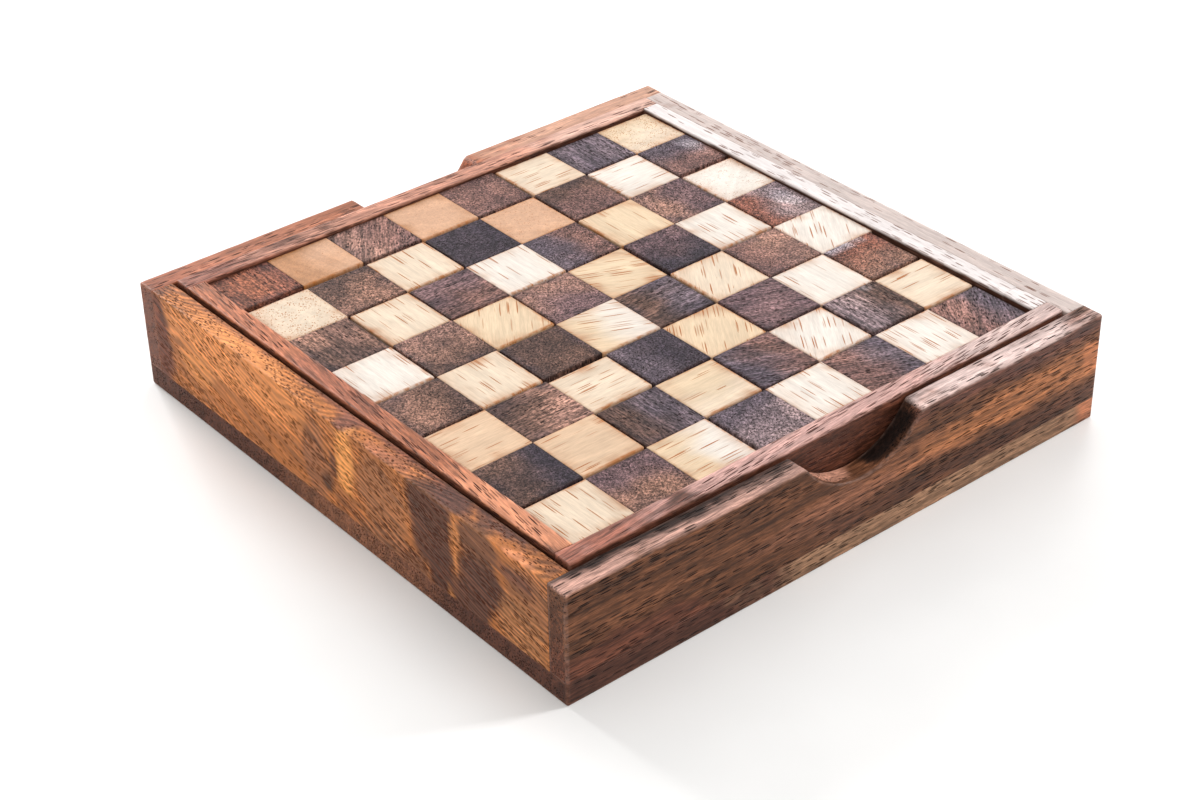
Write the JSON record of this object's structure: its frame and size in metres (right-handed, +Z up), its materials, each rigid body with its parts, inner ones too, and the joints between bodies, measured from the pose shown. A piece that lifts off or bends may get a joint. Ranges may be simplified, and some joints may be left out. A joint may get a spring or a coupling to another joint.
{
  "type": "wooden puzzle box",
  "caption": "Shallow square wooden case with two thumb notches, a lift-out tray, and a chequerboard puzzle of loose pieces glued up from cubes.",
  "frame": {"origin": "centre of the case's underside, where it rests on the table", "axes": "+Z up, +X along the front rail that has the thumb notch, -Y out of the front"},
  "size_m": [0.141, 0.141, 0.0258],
  "materials": {
    "base_wood": "satin oiled",
    "walnut": "satin oiled",
    "golden_wood": "satin oiled",
    "red_brown_wood": "satin oiled",
    "pale_brown_wood": "satin oiled",
    "tray_wood": "satin oiled",
    "pale_cube": "satin sanded",
    "dark_cube": "satin sanded"
  },
  "bodies": {
    "case": {"base_board": "base_wood", "front_rail": "walnut", "back_rail": "red_brown_wood", "left_rail": "golden_wood", "right_rail": "pale_brown_wood"},
    "tray": {"tray_floor": "tray_wood", "tray_front_rail": "tray_wood", "tray_back_rail": "tray_wood", "tray_left_rail": "tray_wood", "tray_right_rail": "pale_brown_wood", "tray_right_rail_end": "pale_brown_wood"},
    "back_bar": {"puzzle_back_bar": "dark_cube"},
    "back_arch": {"puzzle_back_arch": "pale_cube"},
    "left_angle": {"puzzle_left_angle": "pale_cube"},
    "middle_flag": {"puzzle_middle_flag": "dark_cube"},
    "right_flag": {"puzzle_right_flag": "pale_cube"},
    "left_fork": {"puzzle_left_fork": "pale_cube"},
    "right_branch": {"puzzle_right_branch": "dark_cube"},
    "centre_flag": {"puzzle_centre_flag": "dark_cube"},
    "right_stair": {"puzzle_right_stair": "pale_cube"},
    "left_flag": {"puzzle_left_flag": "pale_cube"},
    "small_step": {"puzzle_small_step": "dark_cube"},
    "front_skew": {"puzzle_front_skew": "pale_cube"},
    "front_bar": {"puzzle_front_bar": "dark_cube"}
  },
  "joints": [
    {"name": "tray_lift", "type": "slide", "parent": "case", "child": "tray", "axis": [0, 0, 1], "range_m": [0, 0.03]},
    {"name": "back_bar_lift", "type": "slide", "parent": "tray", "child": "back_bar", "axis": [0, 0, 1], "range_m": [0, 0.025]},
    {"name": "back_arch_lift", "type": "slide", "parent": "tray", "child": "back_arch", "axis": [0, 0, 1], "range_m": [0, 0.025]},
    {"name": "left_angle_lift", "type": "slide", "parent": "tray", "child": "left_angle", "axis": [0, 0, 1], "range_m": [0, 0.025]},
    {"name": "middle_flag_lift", "type": "slide", "parent": "tray", "child": "middle_flag", "axis": [0, 0, 1], "range_m": [0, 0.025]},
    {"name": "right_flag_lift", "type": "slide", "parent": "tray", "child": "right_flag", "axis": [0, 0, 1], "range_m": [0, 0.025]},
    {"name": "left_fork_lift", "type": "slide", "parent": "tray", "child": "left_fork", "axis": [0, 0, 1], "range_m": [0, 0.025]},
    {"name": "right_branch_lift", "type": "slide", "parent": "tray", "child": "right_branch", "axis": [0, 0, 1], "range_m": [0, 0.025]},
    {"name": "centre_flag_lift", "type": "slide", "parent": "tray", "child": "centre_flag", "axis": [0, 0, 1], "range_m": [0, 0.025]},
    {"name": "right_stair_lift", "type": "slide", "parent": "tray", "child": "right_stair", "axis": [0, 0, 1], "range_m": [0, 0.025]},
    {"name": "left_flag_lift", "type": "slide", "parent": "tray", "child": "left_flag", "axis": [0, 0, 1], "range_m": [0, 0.025]},
    {"name": "small_step_lift", "type": "slide", "parent": "tray", "child": "small_step", "axis": [0, 0, 1], "range_m": [0, 0.025]},
    {"name": "front_skew_lift", "type": "slide", "parent": "tray", "child": "front_skew", "axis": [0, 0, 1], "range_m": [0, 0.025]},
    {"name": "front_bar_lift", "type": "slide", "parent": "tray", "child": "front_bar", "axis": [0, 0, 1], "range_m": [0, 0.025]}
  ]
}
